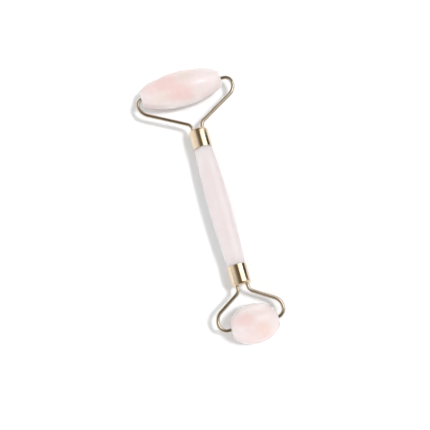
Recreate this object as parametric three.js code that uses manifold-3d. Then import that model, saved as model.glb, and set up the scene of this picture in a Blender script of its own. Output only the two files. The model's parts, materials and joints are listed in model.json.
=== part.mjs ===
// Double-ended rose quartz face roller. A turned stone handle has a gold-plated ferrule on each end. In each
// ferrule a bent wire yoke is potted, and a stone roller spins between the yoke's two inward pins.
//
// Units are millimetres. The handle lies along Y with the big roller towards +Y, the rollers turn about X,
// and both stones rest on the plane Z = 0. The origin is under the centre of the whole roller.
import * as THREE from "three";
import { mergeVertices } from "three/addons/utils/BufferGeometryUtils.js";
import Module from "manifold-3d";

// The handle: a round barrel, thickest in the middle, with a tenon turned on each end for the ferrules.
const HANDLE = {
  halfLength: 31.1,
  middleRadius: 5.72,
  mouthRadius: 4.5,
  tenonRadius: 4.25,
  tenonLength: 4.9,
};

// The ferrules: thin drawn cups, closed at the far end, where the wire's two legs pass through holes.
const FERRULE = {
  outerRadius: 4.8,
  wall: 0.4,
  endWall: 0.8,
  length: 10.2,
  endRounding: 1.2,
  mouthGap: 0.1,
};

// The yokes' wire. Each yoke is one length: pin, loop, arm, leg, U-bend inside the ferrule, and back again.
const WIRE = {
  radius: 1,
  legSpacing: 5.3,
  uBendRadius: 2.4,
  uBendDepth: 2.7,
  holeClearance: 0.12,
};

// Y distances are from the middle of the handle. The corners are where the wire's straight runs would meet.
const BIG_END = {
  name: "big",
  direction: 1,
  pinDistance: 65.1,
  halfWidth: 25.15,
  sideways: -1.25,
  legCorner: 44.6,
  legBend: 3.5,
  shoulderCorner: 57.5,
  shoulderBend: 7,
  loopBend: 3.7,
  pinTip: 17,
  rollerRadius: 9,
  rollerLength: 42,
  rollerFaceRadius: 3.95,
  rollerSlide: -1.45,
  bushLength: 7,
};

const SMALL_END = {
  name: "small",
  direction: -1,
  pinDistance: 61.1,
  halfWidth: 16.5,
  sideways: 0,
  legCorner: 44.4,
  legBend: 3.5,
  shoulderCorner: 53.2,
  shoulderBend: 6.2,
  loopBend: 4.2,
  pinTip: 8,
  rollerRadius: 9.7,
  rollerLength: 23.5,
  rollerFaceRadius: 3.7,
  rollerSlide: 0.8,
  bushLength: 6,
};

// The nylon bushes, glued into blind holes in the ends of each stone.
const BUSH = {
  outerRadius: 2.15,
  boreRadius: 1.09,
  mouthRadius: 1.6,
  mouthDepth: 1,
  glueGap: 0.06,
};

// The space left between the potting and the cup's wall and floor, and between the potting and the tenon.
const POTTING_GAP = 0.05;

const STONE_SIDES = 32;
const BUSH_SIDES = 20;
const WIRE_SIDES = 10;
const DRILL_SIDES = 16;
const WIRE_STEP = 1.3;
const BARREL_STEPS = 12;
const ROLLER_STEPS = 11;
const ROUNDING_STEPS = 3;

const MATERIALS = {
  stone: { color: 0xe2aea6, roughness: 0.2, metalness: 0 },
  paleStone: { color: 0xeadfda, roughness: 0.2, metalness: 0 },
  gold: { color: 0xd8a860, roughness: 0.15, metalness: 1 },
  nylon: { color: 0xefe6df, roughness: 0.4, metalness: 0 },
  epoxy: { color: 0xe6d9b8, roughness: 0.3, metalness: 0 },
};

const wasm = await Module();
wasm.setup();

// ---- Helpers ----

function solidFrom(geometry) {
  const bare = geometry.clone();
  bare.deleteAttribute("normal");
  bare.deleteAttribute("uv");
  const merged = mergeVertices(bare, 1e-4);
  const mesh = new wasm.Mesh({
    numProp: 3,
    vertProperties: new Float32Array(merged.attributes.position.array),
    triVerts: new Uint32Array(merged.index.array),
  });
  return new wasm.Manifold(mesh);
}

function geometryFrom(solid) {
  const { vertProperties, triVerts } = solid.getMesh();
  const geometry = new THREE.BufferGeometry();
  geometry.setAttribute("position", new THREE.BufferAttribute(vertProperties, 3));
  geometry.setIndex(new THREE.BufferAttribute(triVerts, 1));
  geometry.computeVertexNormals();
  return geometry;
}

// A mesh with a material of its own.
function piece(name, geometry, material) {
  const mesh = new THREE.Mesh(geometry, new THREE.MeshStandardMaterial(MATERIALS[material]));
  mesh.name = name;
  return mesh;
}

// A solid turned about its own Y axis from [radius, height] pairs, with a flat facet facing -Z.
function turned(profile, sides) {
  const points = profile.map(([radius, height]) => new THREE.Vector2(radius, height));
  return new THREE.LatheGeometry(points, sides, Math.PI / sides);
}

// The radius of a facetted round whose flats, not its corners, lie on the true radius.
function overFlats(radius, sides) {
  return radius / Math.cos(Math.PI / sides);
}

// A flat path through corners [x, y, bend radius], with each inner corner rounded to its bend radius.
function roundedPath(corners) {
  const path = new THREE.Path();
  path.moveTo(corners[0][0], corners[0][1]);
  for (let i = 1; i < corners.length - 1; i++) {
    const corner = new THREE.Vector2(corners[i][0], corners[i][1]);
    const radius = corners[i][2];
    const before = new THREE.Vector2(corners[i - 1][0], corners[i - 1][1]);
    const after = new THREE.Vector2(corners[i + 1][0], corners[i + 1][1]);
    const into = corner.clone().sub(before).normalize();
    const out = after.sub(corner).normalize();
    const turn = Math.atan2(into.cross(out), into.dot(out));
    const start = corner.clone().addScaledVector(into, -radius * Math.tan(Math.abs(turn) / 2));
    const inward = new THREE.Vector2(-into.y, into.x).multiplyScalar(Math.sign(turn));
    const centre = start.clone().addScaledVector(inward, radius);
    const startAngle = Math.atan2(start.y - centre.y, start.x - centre.x);
    path.lineTo(start.x, start.y);
    path.absarc(centre.x, centre.y, radius, startAngle, startAngle + turn, turn < 0);
  }
  const last = corners[corners.length - 1];
  path.lineTo(last[0], last[1]);
  return path;
}

// A flat path as a curve in the plane Z = 0, for sweeping.
class LevelCurve extends THREE.Curve {
  constructor(path) {
    super();
    this.path = path;
  }

  getPoint(t, target = new THREE.Vector3()) {
    const { x, y } = this.path.getPointAt(t);
    return target.set(x, y, 0);
  }
}

// A round bar swept along a flat path.
function swept(path, radius) {
  const section = new THREE.Shape();
  section.absarc(0, 0, radius, 0, 2 * Math.PI);
  return new THREE.ExtrudeGeometry(section, {
    steps: Math.round(path.getLength() / WIRE_STEP),
    curveSegments: WIRE_SIDES / 2,
    extrudePath: new LevelCurve(path),
  });
}

// ---- Handle, ferrules and potting ----

const ferruleMouth = HANDLE.halfLength + FERRULE.mouthGap;
const ferruleEnd = ferruleMouth + FERRULE.length;
const ferruleFloor = ferruleEnd - FERRULE.endWall;
const tenonEnd = HANDLE.halfLength + HANDLE.tenonLength;

function handleGeometry() {
  const { halfLength, middleRadius, mouthRadius, tenonRadius } = HANDLE;
  const profile = [
    [0, -tenonEnd],
    [tenonRadius, -tenonEnd],
    [tenonRadius, -halfLength],
  ];
  for (let i = 0; i <= BARREL_STEPS; i++) {
    const along = (2 * i) / BARREL_STEPS - 1;
    profile.push([middleRadius - (middleRadius - mouthRadius) * along ** 2, along * halfLength]);
  }
  profile.push([tenonRadius, halfLength], [tenonRadius, tenonEnd], [0, tenonEnd]);
  return turned(profile, STONE_SIDES);
}

function ferruleGeometry() {
  const { outerRadius, wall, endRounding } = FERRULE;
  const profile = [
    [0, ferruleFloor],
    [outerRadius - wall, ferruleFloor],
    [outerRadius - wall, ferruleMouth],
    [outerRadius, ferruleMouth],
  ];
  for (let i = 0; i <= ROUNDING_STEPS; i++) {
    const angle = (Math.PI / 2) * (i / ROUNDING_STEPS);
    profile.push([
      outerRadius - endRounding * (1 - Math.cos(angle)),
      ferruleEnd - endRounding * (1 - Math.sin(angle)),
    ]);
  }
  profile.push([0, ferruleEnd]);
  let cup = solidFrom(turned(profile, STONE_SIDES));
  const holeRadius = WIRE.radius + WIRE.holeClearance;
  for (const side of [-1, 1]) {
    const drill = new THREE.CylinderGeometry(holeRadius, holeRadius, 3 * FERRULE.endWall, DRILL_SIDES);
    drill.translate((side * WIRE.legSpacing) / 2, ferruleEnd - FERRULE.endWall / 2, 0);
    cup = cup.subtract(solidFrom(drill));
  }
  return geometryFrom(cup);
}

// The potting fills the cup from the tenon to the cup's floor, around the wire's U-bend.
function epoxyGeometry(wirePath) {
  const bottom = tenonEnd + POTTING_GAP;
  const top = ferruleFloor - POTTING_GAP;
  const radius = FERRULE.outerRadius - FERRULE.wall - 2 * POTTING_GAP;
  const plug = new THREE.CylinderGeometry(radius, radius, top - bottom, STONE_SIDES);
  plug.translate(0, (top + bottom) / 2, 0);
  const channel = swept(wirePath, WIRE.radius + WIRE.holeClearance);
  return geometryFrom(solidFrom(plug).subtract(solidFrom(channel)));
}

// ---- Yokes and rollers ----

// The wire's route, built towards +Y whichever end it is for, from one pin's tip to the other's.
function yokePath(end) {
  const middle = end.direction * end.sideways;
  const leg = WIRE.legSpacing / 2;
  const uBend = ferruleFloor - WIRE.uBendDepth;
  const half = (side) => [
    [middle + side * end.pinTip, end.pinDistance],
    [middle + side * end.halfWidth, end.pinDistance, end.loopBend],
    [middle + side * end.halfWidth, end.shoulderCorner, end.shoulderBend],
    [side * leg, end.legCorner, end.legBend],
    [side * leg, uBend, WIRE.uBendRadius],
  ];
  return roundedPath([...half(-1), ...half(1).reverse()]);
}

// An ellipsoid cut off flat at both ends, with a blind hole for a bush in each end.
function rollerGeometry(end) {
  const halfLength = end.rollerLength / 2;
  const semiAxis = halfLength / Math.sqrt(1 - (end.rollerFaceRadius / end.rollerRadius) ** 2);
  const holeRadius = BUSH.outerRadius + 2 * BUSH.glueGap;
  const holeFloor = halfLength - end.bushLength - BUSH.glueGap;
  const profile = [
    [0, -holeFloor],
    [holeRadius, -holeFloor],
    [holeRadius, -halfLength],
  ];
  for (let i = 0; i <= ROLLER_STEPS; i++) {
    const along = ((2 * i) / ROLLER_STEPS - 1) * halfLength;
    const radius = end.rollerRadius * Math.sqrt(1 - (along / semiAxis) ** 2);
    profile.push([overFlats(radius, STONE_SIDES), along]);
  }
  profile.push([holeRadius, halfLength], [holeRadius, holeFloor], [0, holeFloor]);
  return turned(profile, STONE_SIDES);
}

// A bush with its mouth, which is opened out for the wire's bend, at +Y.
function bushGeometry(end) {
  const { outerRadius, boreRadius, mouthRadius, mouthDepth } = BUSH;
  return turned(
    [
      [outerRadius, -end.bushLength],
      [outerRadius, 0],
      [mouthRadius, 0],
      [boreRadius, -mouthDepth],
      [boreRadius, -end.bushLength],
      [outerRadius, -end.bushLength],
    ],
    BUSH_SIDES,
  );
}

// The stone and its two bushes, about their own Y axis, which is then laid along X.
function rollerGroup(end) {
  const group = new THREE.Group();
  const bush = bushGeometry(end);
  group.add(piece(`${end.name}_roller`, rollerGeometry(end), "stone"));
  for (const [where, side] of Object.entries({ left: -1, right: 1 })) {
    const mesh = piece(`${end.name}_roller_bush_${where}`, bush, "nylon");
    mesh.position.y = (side * end.rollerLength) / 2;
    mesh.rotation.x = side > 0 ? 0 : Math.PI;
    group.add(mesh);
  }
  group.position.set(end.sideways + end.rollerSlide, end.direction * end.pinDistance, 0);
  group.rotation.set(restTilt, 0, -Math.PI / 2);
  return group;
}

// The ferrule, potting and yoke of one end, built towards +Y and turned round for the other end.
function endFittings(end) {
  const group = new THREE.Group();
  const path = yokePath(end);
  group.add(
    piece(`${end.name}_end_ferrule`, ferruleGeometry(), "gold"),
    piece(`${end.name}_end_epoxy`, epoxyGeometry(path), "epoxy"),
    piece(`${end.name}_yoke_wire`, swept(path, WIRE.radius), "gold"),
  );
  group.rotation.z = end.direction > 0 ? 0 : Math.PI;
  return group;
}

// ---- The whole roller, tipped a little so that both stones touch the resting plane ----

const pinSpacing = BIG_END.pinDistance + SMALL_END.pinDistance;
const restTilt = Math.asin((SMALL_END.rollerRadius - BIG_END.rollerRadius) / pinSpacing);
const middleHeight = BIG_END.rollerRadius + BIG_END.pinDistance * Math.sin(restTilt);
const farthest = BIG_END.pinDistance * Math.cos(restTilt) + BIG_END.rollerRadius;
const nearest = -SMALL_END.pinDistance * Math.cos(restTilt) - SMALL_END.rollerRadius;

const faceRoller = new THREE.Group();
faceRoller.add(piece("handle", handleGeometry(), "paleStone"));
for (const end of [BIG_END, SMALL_END]) {
  faceRoller.add(endFittings(end), rollerGroup(end));
}
faceRoller.rotation.x = -restTilt;
faceRoller.position.set(-BIG_END.sideways, -(farthest + nearest) / 2, middleHeight);

export default faceRoller;
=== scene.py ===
"""Rose quartz face roller: the fine surfaces, the materials, the floor, the lights and the camera.

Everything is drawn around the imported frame, in metres. The handle, ferrules and wires are first shaped in
a level frame, where the handle lies along Y with its middle at the origin and the big roller is towards +Y.
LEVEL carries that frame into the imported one, where the roller rests tipped a little on its two stones.
"""

import json
import math

import bmesh
import bpy
from mathutils import Matrix, Vector


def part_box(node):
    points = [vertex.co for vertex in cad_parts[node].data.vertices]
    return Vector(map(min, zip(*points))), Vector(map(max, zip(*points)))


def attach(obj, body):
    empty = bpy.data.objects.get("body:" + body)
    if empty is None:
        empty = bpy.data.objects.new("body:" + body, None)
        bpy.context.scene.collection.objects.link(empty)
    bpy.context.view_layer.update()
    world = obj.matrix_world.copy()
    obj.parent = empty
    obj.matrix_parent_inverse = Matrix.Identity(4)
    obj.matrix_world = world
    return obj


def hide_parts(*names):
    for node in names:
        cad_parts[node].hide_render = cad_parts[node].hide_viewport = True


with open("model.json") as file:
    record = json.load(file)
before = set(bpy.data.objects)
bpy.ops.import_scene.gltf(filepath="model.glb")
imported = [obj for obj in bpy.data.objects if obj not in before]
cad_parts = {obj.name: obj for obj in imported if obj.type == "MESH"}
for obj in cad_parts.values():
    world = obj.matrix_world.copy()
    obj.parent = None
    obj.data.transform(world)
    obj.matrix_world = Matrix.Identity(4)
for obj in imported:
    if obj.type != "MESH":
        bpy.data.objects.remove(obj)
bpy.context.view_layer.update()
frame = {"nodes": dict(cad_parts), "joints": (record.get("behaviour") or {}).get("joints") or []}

MM = 0.001
TURN = 2 * math.pi

# A turn smaller than STRAIGHT radians makes no corner. A radius under ON_AXIS metres is a point on the axis.
STRAIGHT = 1e-4
ON_AXIS = 1e-9


# ---- Where things are, read from the frame ----


def pin_centre(end):
    """The middle of a stone, on its spin axis."""
    return Vector(next(j["pos_m"] for j in frame["joints"] if j["name"] == f"{end}_roller_spin"))


def level_frame():
    """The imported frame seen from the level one: tipped along the line between the two spin axes."""
    low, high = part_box("handle")
    along = pin_centre("big") - pin_centre("small")
    tilt = math.atan2(along.z, along.y)
    return Matrix.Translation((low + high) / 2) @ Matrix.Rotation(tilt, 4, "X")


LEVEL = level_frame()


def level_points(node):
    """A CAD node's points in the level frame."""
    back = LEVEL.inverted()
    return [back @ vertex.co for vertex in frame["nodes"][node].data.vertices]


def level_box(node):
    """The lowest and highest corner of a CAD node in the level frame."""
    points = level_points(node)
    low = Vector(min(p[i] for p in points) for i in range(3))
    high = Vector(max(p[i] for p in points) for i in range(3))
    return low, high


def off_axis(point):
    """A point's distance from the handle's axis."""
    return math.hypot(point.x, point.z)


# ---- Sizes ----

# How far from an extreme point others still count as being at it.
NEAR = 0.1 * MM
TENON_STRETCH = 1 * MM

HANDLE_NODE = level_points("handle")
HANDLE_RADIUS = max(off_axis(p) for p in HANDLE_NODE)
TENON_END = max(p.y for p in HANDLE_NODE)
TENON_RADIUS = max(off_axis(p) for p in HANDLE_NODE if p.y > TENON_END - TENON_STRETCH)
SHOULDER = max(p.y for p in HANDLE_NODE if off_axis(p) > TENON_RADIUS + NEAR)
SHOULDER_RADIUS = max(off_axis(p) for p in HANDLE_NODE if p.y > SHOULDER - NEAR)
HANDLE_EDGE = 0.25 * MM

CUP_NODE = level_points("big_end_ferrule")
CUP_RADIUS = max(off_axis(p) for p in CUP_NODE)
CUP_MOUTH = min(p.y for p in CUP_NODE)
CUP_END = max(p.y for p in CUP_NODE)
CUP_WALL = 0.4 * MM
CUP_END_WALL = 0.8 * MM
CUP_ROUNDING = 1.3 * MM
CUP_INNER_CORNER = 0.3 * MM
CUP_LIP_INSIDE = 0.1 * MM
CUP_LIP_OUTSIDE = 0.14 * MM
COUNTERSINK = 0.18 * MM

WIRE_LOW, WIRE_HIGH = level_box("big_yoke_wire")
WIRE_RADIUS = (WIRE_HIGH.z - WIRE_LOW.z) / 2
LEG_SPACING = 5.3 * MM
U_BEND_RADIUS = 2.4 * MM
HOLE_CLEARANCE = 0.12 * MM
WIRE_CHAMFER = 0.2 * MM
WIRE_TIP_SHARE = 0.8
WIRE_STEP = 0.8 * MM

BUSH_LOW, BUSH_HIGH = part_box("big_roller_bush_left")
BUSH_RADIUS = (BUSH_HIGH.z - BUSH_LOW.z) / 2
BUSH_BORE = 1.09 * MM
BUSH_MOUTH = 1.6 * MM
BUSH_MOUTH_DEPTH = 1 * MM
GLUE_GAP = 0.1 * MM
STONE_HOLE_RADIUS = BUSH_RADIUS + GLUE_GAP
STONE_HOLE_EDGE = 0.15 * MM
STONE_EDGE = 0.35 * MM

# How each yoke's wire runs: its corners are distances from the handle's middle, its bends are radii, and its
# pin's tip is a distance from the yoke's middle. Then the radius of each stone's flat end.
ENDS = {
    "big": {
        "direction": 1,
        "leg_corner": 44.6 * MM,
        "leg_bend": 3.5 * MM,
        "shoulder_corner": 57.5 * MM,
        "shoulder_bend": 7 * MM,
        "loop_bend": 3.7 * MM,
        "pin_tip": 17 * MM,
        "face_radius": 3.95 * MM,
    },
    "small": {
        "direction": -1,
        "leg_corner": 44.4 * MM,
        "leg_bend": 3.5 * MM,
        "shoulder_corner": 53.2 * MM,
        "shoulder_bend": 6.2 * MM,
        "loop_bend": 4.2 * MM,
        "pin_tip": 8 * MM,
        "face_radius": 3.7 * MM,
    },
}

# How finely things are cut: round an axis, along the stones and round a bend.
STONE_SEGMENTS = 144
METAL_SEGMENTS = 96
WIRE_SEGMENTS = 28
BARREL_STEPS = 72
STONE_STEPS = 90
CUP_BEND_STEPS = 10
WIRE_BEND_STEPS = 20
SHARP_EDGE = math.radians(34)


# ---- Outlines ----


def rounded(corners, steps=6):
    """The points of a flat outline through (x, y, radius) corners, with an arc in place of each corner."""
    points = [Vector(corners[0][:2])]
    for before, corner, after in zip(corners, corners[1:], corners[2:]):
        here = Vector(corner[:2])
        radius = corner[2] if len(corner) > 2 else 0
        into = (here - Vector(before[:2])).normalized()
        out = (Vector(after[:2]) - here).normalized()
        turn = math.atan2(into.x * out.y - into.y * out.x, into.dot(out))
        if radius == 0 or abs(turn) < STRAIGHT:
            points.append(here)
            continue
        start = here - into * radius * math.tan(abs(turn) / 2)
        side = Vector((-into.y, into.x)) * math.copysign(1, turn)
        centre = start + side * radius
        arm = start - centre
        for step in range(steps + 1):
            angle = turn * step / steps
            turned_arm = Vector(
                (
                    arm.x * math.cos(angle) - arm.y * math.sin(angle),
                    arm.x * math.sin(angle) + arm.y * math.cos(angle),
                )
            )
            points.append(centre + turned_arm)
    points.append(Vector(corners[-1][:2]))
    return points


def evenly_stepped(points, longest):
    """The same line with extra points on its long straight stretches."""
    stepped = [points[0]]
    for start, end in zip(points, points[1:]):
        count = max(1, math.ceil((end - start).length / longest))
        for i in range(1, count + 1):
            stepped.append(start.lerp(end, i / count))
    return stepped


# ---- Meshes ----


def turned(profile, segments):
    """A closed mesh turned about Y. The (radius, along) points start and end on the axis, or make a ring."""
    mesh = bmesh.new()
    rings = []
    for radius, along in profile:
        count = segments if radius > ON_AXIS else 1
        angles = [TURN * i / count for i in range(count)]
        ring = [mesh.verts.new((radius * math.sin(a), along, radius * math.cos(a))) for a in angles]
        rings.append(ring)
    pairs = list(zip(rings, rings[1:]))
    if len(rings[0]) > 1:
        pairs.append((rings[-1], rings[0]))
    for lower, upper in pairs:
        for i in range(segments):
            below = [lower[k % len(lower)] for k in (i, i + 1)]
            above = [upper[k % len(upper)] for k in (i + 1, i)]
            mesh.faces.new(list(dict.fromkeys(below + above)))
    bmesh.ops.recalc_face_normals(mesh, faces=mesh.faces)
    return mesh


def swept(path, radius, segments):
    """A round bar along a flat path, with a small chamfer at each tip, and its own grain along the wire."""
    mesh = bmesh.new()
    grain = []
    rings = []
    travelled = 0
    last = len(path) - 1
    for i, point in enumerate(path):
        ahead = path[min(i + 1, last)]
        behind = path[max(i - 1, 0)]
        heading = (ahead - behind).normalized()
        side = Vector((-heading.y, heading.x))
        travelled += (point - behind).length
        reach = radius * (WIRE_TIP_SHARE if i in (0, last) else 1)
        ring = []
        for k in range(segments):
            a = TURN * k / segments
            across = side * reach * math.cos(a)
            ring.append(mesh.verts.new((point.x + across.x, point.y + across.y, reach * math.sin(a))))
            grain.append((reach * math.cos(a), travelled, reach * math.sin(a)))
        rings.append(ring)
    for lower, upper in zip(rings, rings[1:]):
        for k in range(segments):
            n = (k + 1) % segments
            mesh.faces.new([lower[k], lower[n], upper[n], upper[k]])
    mesh.faces.new(rings[0])
    mesh.faces.new(rings[-1])
    bmesh.ops.recalc_face_normals(mesh, faces=mesh.faces)
    return mesh, grain


def drilled(name, mesh, cutters):
    """The mesh with the cutters' shapes taken out of it."""
    body = bpy.data.objects.new(name, mesh)
    bpy.context.scene.collection.objects.link(body)
    tools = []
    for cutter in cutters:
        tool = bpy.data.objects.new("drill", cutter)
        bpy.context.scene.collection.objects.link(tool)
        bore = body.modifiers.new("bore", "BOOLEAN")
        bore.operation = "DIFFERENCE"
        bore.solver = "EXACT"
        bore.object = tool
        tools.append(tool)
    scene_graph = bpy.context.evaluated_depsgraph_get()
    cut = bpy.data.meshes.new_from_object(body.evaluated_get(scene_graph))
    for item in [body, *tools]:
        bpy.data.objects.remove(item)
    return cut


def plain_mesh(name, source):
    """A mesh from a bmesh."""
    mesh = bpy.data.meshes.new(name)
    source.to_mesh(mesh)
    source.free()
    return mesh


def place(name, mesh, placement, material, stands_for, body, grain=None):
    """Makes a piece of a mesh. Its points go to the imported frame, and its grain keeps the mesh's own
    coordinates, in millimetres, for the materials."""
    grain = grain or [vertex.co.copy() for vertex in mesh.vertices]
    values = [coordinate / MM for point in grain for coordinate in point]
    mesh.attributes.new("grain", "FLOAT_VECTOR", "POINT").data.foreach_set("vector", values)
    mesh.transform(placement)
    mesh.shade_smooth()
    mesh.set_sharp_from_angle(angle=SHARP_EDGE)
    mesh.materials.clear()
    mesh.materials.append(material)
    piece = bpy.data.objects.new(name, mesh)
    bpy.context.scene.collection.objects.link(piece)
    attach(piece, body)
    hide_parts(stands_for)
    return piece


# ---- Materials ----


class Nodes:
    """The node tree of a material or a world, with short calls to add nodes and link them."""

    def __init__(self, owner):
        self.owner = owner
        owner.use_nodes = True
        self.tree = owner.node_tree

    def put(self, socket, value):
        """Links an output to an input socket, or sets the socket's own value."""
        if isinstance(value, bpy.types.NodeSocket):
            self.tree.links.new(value, socket)
        else:
            socket.default_value = value

    def node(self, kind, inputs=None, **settings):
        node = self.tree.nodes.new(kind)
        for key, value in settings.items():
            setattr(node, key, value)
        for key, value in (inputs or {}).items():
            self.put(node.inputs[key], value)
        return node

    def surface(self, **inputs):
        """Sets a material's own shader: each input is a socket's name with _ for its spaces."""
        shader = self.tree.nodes["Principled BSDF"]
        for key, value in inputs.items():
            self.put(shader.inputs[key.replace("_", " ")], value)

    def grain(self):
        """The piece's own coordinates, in millimetres."""
        return self.node("ShaderNodeAttribute", attribute_name="grain").outputs["Vector"]

    def stretch(self, vector, factors):
        return self.node(
            "ShaderNodeVectorMath", {0: vector, 1: factors}, operation="MULTIPLY"
        ).outputs["Vector"]

    def noise(self, vector, scale, detail=2.0, roughness=0.5, distortion=0.0):
        return self.node(
            "ShaderNodeTexNoise",
            {
                "Vector": vector,
                "Scale": scale,
                "Detail": detail,
                "Roughness": roughness,
                "Distortion": distortion,
            },
        )

    def ramp(self, value, low, high, to_low=0.0, to_high=1.0, smooth=True):
        return self.node(
            "ShaderNodeMapRange",
            {"Value": value, "From Min": low, "From Max": high, "To Min": to_low, "To Max": to_high},
            interpolation_type="SMOOTHSTEP" if smooth else "LINEAR",
        ).outputs["Result"]

    def maths(self, operation, a, b=0.0):
        return self.node("ShaderNodeMath", {0: a, 1: b}, operation=operation).outputs[0]

    def mix(self, factor, a, b):
        node = self.node("ShaderNodeMix", data_type="RGBA")
        self.put(node.inputs["Factor"], factor)
        self.put(node.inputs["A"], a)
        self.put(node.inputs["B"], b)
        return node.outputs["Result"]

    def bump(self, height, strength, distance, normal=None):
        inputs = {"Height": height, "Strength": strength, "Distance": distance}
        if normal is not None:
            inputs["Normal"] = normal
        return self.node("ShaderNodeBump", inputs).outputs["Normal"]

    def length(self, vector):
        return self.node("ShaderNodeVectorMath", {0: vector}, operation="LENGTH").outputs["Value"]

    def warped(self, vector, scale, reach):
        """Coordinates pushed about by soft noise, up to about half the reach each way."""
        noise = self.noise(vector, scale).outputs["Color"]
        centred = self.node(
            "ShaderNodeVectorMath", {0: noise, 1: (0.5, 0.5, 0.5)}, operation="SUBTRACT"
        ).outputs["Vector"]
        push = self.stretch(centred, (reach, reach, reach))
        return self.node("ShaderNodeVectorMath", {0: vector, 1: push}, operation="ADD").outputs["Vector"]


def material_nodes(name):
    return Nodes(bpy.data.materials.new(name))


def colour(red, green, blue):
    return (red, green, blue, 1.0)


def grey(level):
    return colour(level, level, level)


def cloud(nodes, vector, centre, size):
    """A soft patch around a centre, 1 in its middle and 0 outside it."""
    away = nodes.node(
        "ShaderNodeVectorMath", {0: vector, 1: centre}, operation="SUBTRACT"
    ).outputs["Vector"]
    scaled = nodes.stretch(away, tuple(1 / s for s in size))
    return nodes.ramp(nodes.length(scaled), 0.45, 1.15, 1.0, 0.0)


def veins(nodes, vector, scale, width):
    """Thin healed cracks: the borders between cells, which come and go along their length."""
    cells = nodes.node(
        "ShaderNodeTexVoronoi", {"Vector": vector, "Scale": scale}, feature="DISTANCE_TO_EDGE"
    ).outputs["Distance"]
    line = nodes.ramp(cells, 0.0, width, 1.0, 0.0)
    presence = nodes.ramp(nodes.noise(vector, scale * 1.7).outputs["Fac"], 0.48, 0.66)
    return nodes.maths("MULTIPLY", line, presence)


def polished_stone(nodes, vector, colour_output, scatter, polish):
    """What both quartzes share: light that soaks in, and a polish with faint waves and hairline scratches."""
    waves = nodes.noise(vector, 0.16, detail=1.0).outputs["Fac"]
    drawn_out = nodes.stretch(vector, (7.0, 0.6, 7.0))
    scratches = nodes.noise(drawn_out, 1.0, detail=5.0, roughness=0.7).outputs["Fac"]
    swirl = nodes.bump(waves, 0.15, 0.0002)
    fine = nodes.bump(scratches, 0.02, 0.00002, swirl)
    wear = nodes.noise(vector, 0.7, detail=4.0, roughness=0.6).outputs["Fac"]
    nodes.surface(
        Base_Color=colour_output,
        Roughness=nodes.ramp(wear, 0.3, 0.7, *polish),
        Normal=fine,
        IOR=1.54,
        Subsurface_Weight=1.0,
        Subsurface_Radius=(1.0, 0.93, 0.91),
        Subsurface_Scale=scatter,
        Subsurface_Anisotropy=0.3,
    )


MILK = colour(0.701, 0.61, 0.599)
ROSE = colour(0.706, 0.548, 0.53)
PEACH = colour(0.706, 0.562, 0.519)
SAND = colour(0.69, 0.597, 0.556)
ICE = colour(0.712, 0.653, 0.647)
# The next tint is painted light. It lifts the side of a stone that the lamps leave dim.
PAINTED_SIDE_LIGHT = colour(0.79, 0.725, 0.71)


def rose_quartz(name, patches):
    """Cloudy pink quartz. Each patch is a (tint, centre, size, depth) in the stone's own millimetres. A patch
    can also be painted light or painted shade along one side of the stone.
    """
    nodes = material_nodes(name)
    here = nodes.grain()
    soft = nodes.warped(here, 0.13, 6.0)
    drift = nodes.noise(soft, 0.1, detail=3.0, roughness=0.55).outputs["Fac"]
    tone = nodes.mix(nodes.ramp(drift, 0.56, 0.38, 0.0, 0.8), MILK, ROSE)
    for tint, centre, size, depth in patches:
        patch = nodes.maths("MULTIPLY", cloud(nodes, soft, centre, size), depth)
        tone = nodes.mix(patch, tone, tint)
    wisps = nodes.noise(nodes.stretch(soft, (0.6, 1.5, 1.0)), 0.36, detail=5.0, roughness=0.62).outputs["Fac"]
    tone = nodes.mix(nodes.ramp(wisps, 0.52, 0.76, 0.0, 0.6), tone, ICE)
    tone = nodes.mix(nodes.ramp(wisps, 0.46, 0.22, 0.0, 0.45), tone, ROSE)
    cracks = veins(nodes, nodes.warped(here, 0.3, 3.0), 0.1, 0.03)
    tone = nodes.mix(nodes.maths("MULTIPLY", cracks, 0.7), tone, ICE)
    polished_stone(nodes, here, tone, 0.008, (0.07, 0.14))
    return nodes.owner


def pale_quartz():
    """Milky quartz with a trace of pink, in long soft bands."""
    nodes = material_nodes("pale_quartz")
    here = nodes.grain()
    soft = nodes.warped(here, 0.1, 6.0)
    milk = colour(0.669, 0.621, 0.621)
    blush = colour(0.669, 0.599, 0.599)
    bands = nodes.noise(nodes.stretch(soft, (1.0, 0.25, 1.0)), 0.2, detail=3.0).outputs["Fac"]
    tone = nodes.mix(nodes.ramp(bands, 0.35, 0.7), blush, milk)
    wisps = nodes.noise(nodes.stretch(soft, (1.0, 0.4, 1.0)), 0.5, detail=5.0, roughness=0.6).outputs["Fac"]
    tone = nodes.mix(nodes.ramp(wisps, 0.55, 0.8, 0.0, 0.35), tone, ICE)
    cracks = veins(nodes, nodes.warped(here, 0.3, 3.0), 0.09, 0.025)
    tone = nodes.mix(nodes.maths("MULTIPLY", cracks, 0.3), tone, ICE)
    polished_stone(nodes, here, tone, 0.008, (0.3, 0.42))
    return nodes.owner


def polished_gold(name, lines, warm, pale, polish):
    """Pale gold plating on polished metal. The lines factors stretch its marks along the piece's own axes."""
    nodes = material_nodes(name)
    here = nodes.grain()
    drift = nodes.noise(here, 0.5, detail=3.0).outputs["Fac"]
    smudge = nodes.noise(here, 1.3, detail=5.0, roughness=0.65).outputs["Fac"]
    marks = nodes.noise(nodes.stretch(here, lines), 1.0, detail=4.0, roughness=0.7).outputs["Fac"]
    scuffs = nodes.bump(marks, 0.12, 0.00001)
    dents = nodes.bump(drift, 0.1, 0.00005, scuffs)
    wear = nodes.maths("ADD", smudge, nodes.maths("MULTIPLY", marks, 0.4))
    nodes.surface(
        Base_Color=nodes.mix(nodes.ramp(drift, 0.3, 0.7), warm, pale),
        Metallic=1.0,
        Roughness=nodes.ramp(wear, 0.5, 0.95, *polish),
        Normal=dents,
    )
    return nodes.owner


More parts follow.
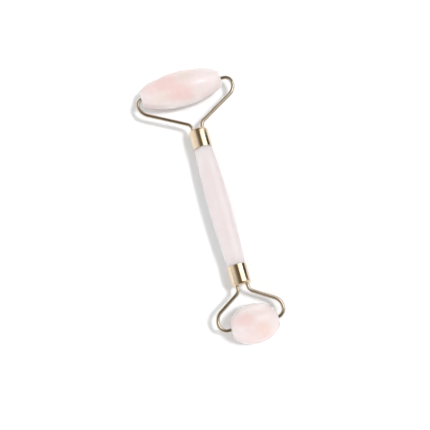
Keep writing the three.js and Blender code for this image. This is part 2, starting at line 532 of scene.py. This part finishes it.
def nylon():
    """Turned natural nylon, slightly clear, with the tool's fine rings."""
    nodes = material_nodes("nylon")
    here = nodes.grain()
    rings = nodes.noise(nodes.stretch(here, (0.6, 9.0, 0.6)), 1.0, detail=2.0).outputs["Fac"]
    haze = nodes.noise(here, 0.8, detail=3.0).outputs["Fac"]
    nodes.surface(
        Base_Color=nodes.mix(nodes.ramp(haze, 0.3, 0.7), colour(0.78, 0.74, 0.68), colour(0.86, 0.83, 0.78)),
        Roughness=nodes.ramp(haze, 0.3, 0.7, 0.34, 0.46),
        Normal=nodes.bump(rings, 0.3, 0.00003),
        Subsurface_Weight=0.5,
        Subsurface_Radius=(1.0, 0.9, 0.8),
        Subsurface_Scale=0.0008,
        IOR=1.53,
    )
    return nodes.owner


def potting():
    """Cured resin, a little cloudy, with small bubbles. It is hidden inside the ferrules."""
    nodes = material_nodes("potting")
    here = nodes.node("ShaderNodeTexCoord").outputs["Object"]
    haze = nodes.noise(here, 900.0, detail=3.0).outputs["Fac"]
    bubbles = nodes.node("ShaderNodeTexVoronoi", {"Vector": here, "Scale": 1400.0}).outputs["Distance"]
    nodes.surface(
        Base_Color=nodes.mix(nodes.ramp(haze, 0.3, 0.7), colour(0.72, 0.63, 0.43), colour(0.80, 0.73, 0.55)),
        Roughness=nodes.ramp(haze, 0.3, 0.7, 0.2, 0.35),
        Normal=nodes.bump(nodes.ramp(bubbles, 0.05, 0.2), 0.2, 0.0001),
        Subsurface_Weight=0.3,
        Subsurface_Scale=0.001,
    )
    return nodes.owner


# ---- Pieces ----


def handle_piece(material):
    """The barrel, thickest in the middle, with a tenon at each end. Its shoulders meet the ferrules."""
    swell = HANDLE_RADIUS - SHOULDER_RADIUS
    inset = 1.5 * HANDLE_EDGE
    outline = [(0, -TENON_END), (TENON_RADIUS, -TENON_END, HANDLE_EDGE), (TENON_RADIUS, -SHOULDER)]
    outline.append((SHOULDER_RADIUS, -SHOULDER, HANDLE_EDGE))
    for i in range(BARREL_STEPS + 1):
        along = (2 * i / BARREL_STEPS - 1) * (SHOULDER - inset)
        outline.append((HANDLE_RADIUS - swell * (along / SHOULDER) ** 2, along))
    outline.append((SHOULDER_RADIUS, SHOULDER, HANDLE_EDGE))
    outline += [(TENON_RADIUS, SHOULDER), (TENON_RADIUS, TENON_END, HANDLE_EDGE), (0, TENON_END)]
    mesh = plain_mesh("handle_stone", turned(rounded(outline), STONE_SEGMENTS))
    return place("handle_stone", mesh, LEVEL, material, "handle", "handle")


def facing(end):
    """The turn that points +Y towards an end of the handle."""
    return Matrix.Rotation(0 if ENDS[end]["direction"] > 0 else math.pi, 4, "Z")


def drill():
    """What is drilled out of a ferrule's end for one leg, with a small countersink outside."""
    radius = WIRE_RADIUS + HOLE_CLEARANCE
    bottom = CUP_END - 2 * CUP_END_WALL
    top = CUP_END + 2 * COUNTERSINK
    outline = [(0, bottom), (radius, bottom), (radius, CUP_END - COUNTERSINK)]
    outline += [(radius + 3 * COUNTERSINK, top), (0, top)]
    return turned(outline, METAL_SEGMENTS // 2)


def ferrule_piece(end, material):
    """A drawn cup with a softly rounded end, where the wire's legs pass through. One more ring of points
    lies on the end's flat face, just inside its rounding."""
    inner = CUP_RADIUS - CUP_WALL
    bottom = CUP_END - CUP_END_WALL
    flat = CUP_RADIUS - CUP_ROUNDING - 0.15 * MM
    outline = [
        (0, bottom),
        (inner, bottom, CUP_INNER_CORNER),
        (inner, CUP_MOUTH, CUP_LIP_INSIDE),
        (CUP_RADIUS, CUP_MOUTH, CUP_LIP_OUTSIDE),
        (CUP_RADIUS, CUP_END, CUP_ROUNDING),
        (flat, CUP_END),
        (0, CUP_END),
    ]
    cup = plain_mesh("cup", turned(rounded(outline, CUP_BEND_STEPS), METAL_SEGMENTS))
    cutters = []
    for side in (-1, 1):
        cutter = plain_mesh("drill", drill())
        cutter.transform(Matrix.Translation((side * LEG_SPACING / 2, 0, 0)))
        cutters.append(cutter)
    mesh = drilled("cup", cup, cutters)
    name = f"{end}_end_ferrule_gold"
    return place(name, mesh, LEVEL @ facing(end), material, f"{end}_end_ferrule", "handle")


def yoke_path(end):
    """The wire's route on the level plane, drawn towards +Y, from one pin's tip to the other's."""
    sizes = ENDS[end]
    low, high = level_box(f"{end}_yoke_wire")
    middle = sizes["direction"] * (low.x + high.x) / 2
    half_width = (high.x - low.x) / 2 - WIRE_RADIUS
    pin = abs((LEVEL.inverted() @ pin_centre(end)).y)
    u_bend = min(abs(low.y), abs(high.y)) + WIRE_RADIUS
    left, right = (
        [
            (middle + side * sizes["pin_tip"], pin),
            (middle + side * half_width, pin, sizes["loop_bend"]),
            (middle + side * half_width, sizes["shoulder_corner"], sizes["shoulder_bend"]),
            (side * LEG_SPACING / 2, sizes["leg_corner"], sizes["leg_bend"]),
            (side * LEG_SPACING / 2, u_bend, U_BEND_RADIUS),
        ]
        for side in (-1, 1)
    )
    return evenly_stepped(rounded(left + right[::-1], WIRE_BEND_STEPS), WIRE_STEP)


def yoke_piece(end, material):
    """One length of bent wire."""
    path = yoke_path(end)
    path.insert(1, path[0] + (path[1] - path[0]).normalized() * WIRE_CHAMFER)
    path.insert(-1, path[-1] + (path[-2] - path[-1]).normalized() * WIRE_CHAMFER)
    source, grain = swept(path, WIRE_RADIUS, WIRE_SEGMENTS)
    name = f"{end}_yoke_gold"
    mesh = plain_mesh(name, source)
    placement = LEVEL @ facing(end)
    return place(name, mesh, placement, material, f"{end}_yoke_wire", "handle", grain)


def roller_placement(end):
    """From a stone's own frame, which turns about Y, to its place, where it turns about X."""
    tip = LEVEL.to_3x3().to_4x4()
    return Matrix.Translation(pin_centre(end)) @ tip @ Matrix.Rotation(-math.pi / 2, 4, "Z")


def roller_piece(end, material):
    """An ellipsoid cut off flat at both ends, with a blind hole in each end for a bush."""
    low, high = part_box(f"{end}_roller")
    bush_low, bush_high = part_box(f"{end}_roller_bush_left")
    half = (high.x - low.x) / 2
    radius = pin_centre(end).z
    face = ENDS[end]["face_radius"]
    semi_axis = half / math.sqrt(1 - (face / radius) ** 2)
    hole_floor = half - (bush_high.x - bush_low.x) - GLUE_GAP
    inset = 1.2 * STONE_EDGE
    hole = STONE_HOLE_RADIUS
    outline = [(0, -hole_floor), (hole, -hole_floor), (hole, -half, STONE_HOLE_EDGE)]
    outline.append((face, -half, STONE_EDGE))
    for i in range(STONE_STEPS + 1):
        along = (2 * i / STONE_STEPS - 1) * (half - inset)
        outline.append((radius * math.sqrt(1 - (along / semi_axis) ** 2), along))
    outline += [(face, half, STONE_EDGE), (hole, half, STONE_HOLE_EDGE), (hole, hole_floor), (0, hole_floor)]
    name = f"{end}_roller_stone"
    mesh = plain_mesh(name, turned(rounded(outline), STONE_SEGMENTS))
    return place(name, mesh, roller_placement(end), material, f"{end}_roller", f"{end}_roller")


def bush_pieces(end, material):
    """The two nylon bushes of a stone, each with its mouth opened out for the wire's bend. Each corner of the
    outline has its own small radius."""
    for where, side in (("left", -1), ("right", 1)):
        node = f"{end}_roller_bush_{where}"
        low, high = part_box(node)
        length = high.x - low.x
        outline = [
            (BUSH_BORE, -length / 2),
            (BUSH_BORE, -length, 0.1 * MM),
            (BUSH_RADIUS, -length, 0.15 * MM),
            (BUSH_RADIUS, 0, 0.2 * MM),
            (BUSH_MOUTH, 0, 0.12 * MM),
            (BUSH_BORE, -BUSH_MOUTH_DEPTH, 0.3 * MM),
            (BUSH_BORE, -length / 2),
        ]
        mesh = plain_mesh(node, turned(rounded(outline)[:-1], METAL_SEGMENTS // 2))
        outer_end = side * length / 2 + (low.x + high.x) / 2 - pin_centre(end).x
        turn = Matrix.Rotation(0 if side > 0 else math.pi, 4, "X")
        placement = roller_placement(end) @ Matrix.Translation((0, outer_end, 0)) @ turn
        place(f"{node}_nylon", mesh, placement, material, node, f"{end}_roller")


# ---- Stage ----

CAMERA_TARGET = Vector((-2.155, -5.467, 9.4)) * MM
CAMERA_AZIMUTH = math.radians(-15.471)
CAMERA_ELEVATION = math.radians(77.996)
CAMERA_DISTANCE = 448.5 * MM
CAMERA_LENS = 75.1
CAMERA_SENSOR = 36.0
CAMERA_CLIP = (0.01, 50.0)

FLOOR_HALF = 3.0

# The softbox stands to the object's right, towards its long roller. SOFTBOX_TOWARDS points from what it
# shines on back to it.
SOFTBOX_PLACE = Vector((0.357, 0.11, 0.47))
SOFTBOX_TOWARDS = Vector((0.357, 0.0, 0.47))
SOFTBOX_SIZE = (0.34, 0.57)

# The card's two near and two far corners, just above the table, and how high its far edge stands up.
FLAG_CORNERS = [(0.045, -0.05), (0.045, 0.065), (0.5, 0.215), (0.5, -0.005)]
FLAG_LIFT = 0.5 * MM
FLAG_TOP = 0.24


def direction(azimuth, elevation):
    """A unit vector towards an azimuth, which is 0 towards -Y and 90 degrees towards +X, and an elevation."""
    flat = math.cos(elevation)
    return Vector((math.sin(azimuth) * flat, -math.cos(azimuth) * flat, math.sin(elevation)))


def camera():
    """The view that fits the photo."""
    view = bpy.data.objects.new("camera", bpy.data.cameras.new("camera"))
    back = direction(CAMERA_AZIMUTH, CAMERA_ELEVATION)
    view.location = CAMERA_TARGET + back * CAMERA_DISTANCE
    view.rotation_mode = "QUATERNION"
    view.rotation_quaternion = back.to_track_quat("Z", "Y")
    view.data.lens = CAMERA_LENS
    view.data.sensor_width = CAMERA_SENSOR
    view.data.clip_start, view.data.clip_end = CAMERA_CLIP
    bpy.context.scene.collection.objects.link(view)
    bpy.context.scene.camera = view


def floor():
    """A wide pale tabletop."""
    corners = [(x * FLOOR_HALF, y * FLOOR_HALF, 0) for x, y in ((-1, -1), (1, -1), (1, 1), (-1, 1))]
    mesh = bpy.data.meshes.new("floor")
    mesh.from_pydata(corners, [], [(0, 1, 2, 3)])
    nodes = material_nodes("floor")
    here = nodes.node("ShaderNodeTexCoord").outputs["Object"]
    haze = nodes.noise(here, 6.0, detail=3.0).outputs["Fac"]
    nodes.surface(
        Base_Color=nodes.mix(haze, grey(0.85), grey(0.87)),
        Roughness=0.9,
        Specular_IOR_Level=0.1,
    )
    mesh.materials.append(nodes.owner)
    top = bpy.data.objects.new("floor", mesh)
    bpy.context.scene.collection.objects.link(top)


def lamp(name, kind, strength, towards, at=None, mirrored=True, lit=True):
    """A lamp that the camera doesn't see. The towards vector points from the object to it, mirrored says if
    gloss shows it, and lit says if it lights surfaces."""
    light = bpy.data.lights.new(name, kind)
    light.energy = strength
    holder = bpy.data.objects.new(name, light)
    holder.location = at or towards
    holder.rotation_mode = "QUATERNION"
    holder.rotation_quaternion = towards.to_track_quat("Z", "Y")
    holder.visible_glossy = mirrored
    holder.visible_diffuse = lit
    holder.visible_camera = False
    bpy.context.scene.collection.objects.link(holder)
    return light


def sun(name, strength, towards, width, tint=(1.0, 1.0, 1.0), mirrored=False):
    """A distant lamp, width degrees across."""
    light = lamp(name, "SUN", strength, Vector(towards), mirrored=mirrored)
    light.color = tint
    light.angle = math.radians(width)


def lights():
    """A key from the right that makes the shadow, a broad bluish fill from the left, one lamp from the front,
    and a softbox that gloss mirrors. The glint makes the stones' small highlights: it reaches only what is in
    the collection that is given back, because the gold would mirror it too."""
    sun("key", 1.95, (0.40, -0.11, 1.0), 13, (0.985, 1.0, 1.015))
    sun("glint", 0.16, (0.5, 0.0, 1.0), 8, mirrored=True)
    stones = bpy.data.collections.new("stones")
    bpy.data.objects["glint"].light_linking.receiver_collection = stones
    sun("fill", 1.25, (-1.0, 0.35, 0.6), 170, (0.92, 1.0, 1.06))
    sun("front", 0.95, (-0.5, -0.9, 0.4), 80)
    softbox = lamp("softbox", "AREA", 0.92, SOFTBOX_TOWARDS, at=SOFTBOX_PLACE, lit=False)
    softbox.shape = "RECTANGLE"
    softbox.size, softbox.size_y = SOFTBOX_SIZE
    return stones


def flag():
    """A black card on the right, along the table and up at its far edge, that only gloss mirrors."""
    mesh = bpy.data.meshes.new("flag")
    points = [(x, y, FLAG_LIFT) for x, y in FLAG_CORNERS] + [(x, y, FLAG_TOP) for x, y in FLAG_CORNERS[2:]]
    mesh.from_pydata(points, [], [(0, 3, 2, 1), (3, 5, 4, 2)])
    nodes = material_nodes("flag")
    nodes.surface(Base_Color=colour(0.03, 0.025, 0.02), Roughness=0.9)
    mesh.materials.append(nodes.owner)
    card = bpy.data.objects.new("flag", mesh)
    card.visible_camera = False
    card.visible_diffuse = False
    card.visible_shadow = False
    bpy.context.scene.collection.objects.link(card)


def surroundings():
    """A white room, dimmer towards the front. Its ceiling is dark, further along the handle than across."""
    nodes = Nodes(bpy.data.worlds.new("room"))
    towards = nodes.node("ShaderNodeTexCoord").outputs["Generated"]
    parts = nodes.node("ShaderNodeSeparateXYZ", {0: towards}).outputs
    overhead = nodes.ramp(nodes.length(nodes.stretch(towards, (1.0, 0.34, 0.0))), 0.92, 0.3)
    above = nodes.ramp(parts["Z"], 0.2, 0.38)
    wall = nodes.mix(nodes.ramp(parts["Y"], -0.05, 0.35), grey(0.66), grey(1.03))
    ceiling = colour(0.155, 0.13, 0.095)
    shade = nodes.mix(nodes.maths("MULTIPLY", overhead, above), wall, ceiling)
    nodes.put(nodes.tree.nodes["Background"].inputs["Color"], shade)
    bpy.context.scene.world = nodes.owner


# ---- The scene ----

# The patches of each stone, as (tint, centre, size, depth) in its own millimetres. Y is along its axis
# and Z is up at rest. Most are cloud in the quartz. The pale tint along one side is painted light, and
# the short stone's last pink patch is painted shade.
BIG_PATCHES = [
    (ICE, (0.0, 14.0, 4.0), (13.0, 12.0, 13.0), 0.4),
    (ROSE, (-2.5, -8.0, 8.0), (7.0, 8.0, 8.0), 1.0),
    (SAND, (5.0, -10.0, 7.0), (4.0, 6.0, 6.0), 0.8),
    (ROSE, (5.0, -1.0, 7.5), (5.5, 7.0, 7.0), 1.0),
    (SAND, (-4.5, 2.2, 8.0), (5.5, 3.5, 6.0), 0.9),
    # Painted light: a pale band along the long stone's front side, which the lamps leave dim.
    (PAINTED_SIDE_LIGHT, (10.5, -2.0, -1.0), (5.0, 22.0, 8.0), 0.85),
]
SMALL_PATCHES = [
    (MILK, (0.0, 0.0, 9.0), (13.0, 13.0, 9.0), 0.7),
    (ROSE, (-3.0, -4.3, 8.5), (3.5, 4.5, 5.0), 0.9),
    (PEACH, (4.0, 3.2, 8.5), (4.0, 3.6, 5.0), 0.95),
    (ICE, (4.0, -7.0, 6.0), (4.0, 4.0, 5.0), 0.5),
    # Painted light: a pale band along the short stone's back side, which the lamps leave dim.
    (PAINTED_SIDE_LIGHT, (-9.5, 0.0, 3.0), (6.0, 14.0, 9.0), 1.0),
    # Painted shade: a deeper pink along the short stone's front side, which darkens the side the front lamp
    # lights.
    (ROSE, (8.0, 1.0, 4.0), (6.0, 12.0, 8.0), 0.35),
]

bpy.context.scene.view_settings.view_transform = "Standard"
camera()
floor()
stones = lights()
flag()
surroundings()

gold_turned = polished_gold(
    "gold_turned", (0.4, 9.0, 0.4), colour(0.78, 0.62, 0.44), colour(0.82, 0.67, 0.50), (0.12, 0.22)
)
# The wires' gold is the ferrules' plating made darker and greyer. The darkness is painted shade for the dark
# room the thin wires mirror.
gold_drawn_shaded = polished_gold(
    "gold_drawn_shaded", (5.0, 0.35, 5.0), colour(0.65, 0.565, 0.455), colour(0.7, 0.62, 0.51), (0.12, 0.2)
)
bush_nylon = nylon()
resin = potting()

handle_piece(pale_quartz())
for end, patches in (("big", BIG_PATCHES), ("small", SMALL_PATCHES)):
    ferrule_piece(end, gold_turned)
    yoke_piece(end, gold_drawn_shaded)
    stone = roller_piece(end, rose_quartz(f"{end}_rose_quartz", patches))
    stones.objects.link(stone)
    bush_pieces(end, bush_nylon)
    epoxy = frame["nodes"][f"{end}_end_epoxy"]
    epoxy.data.materials.clear()
    epoxy.data.materials.append(resin)
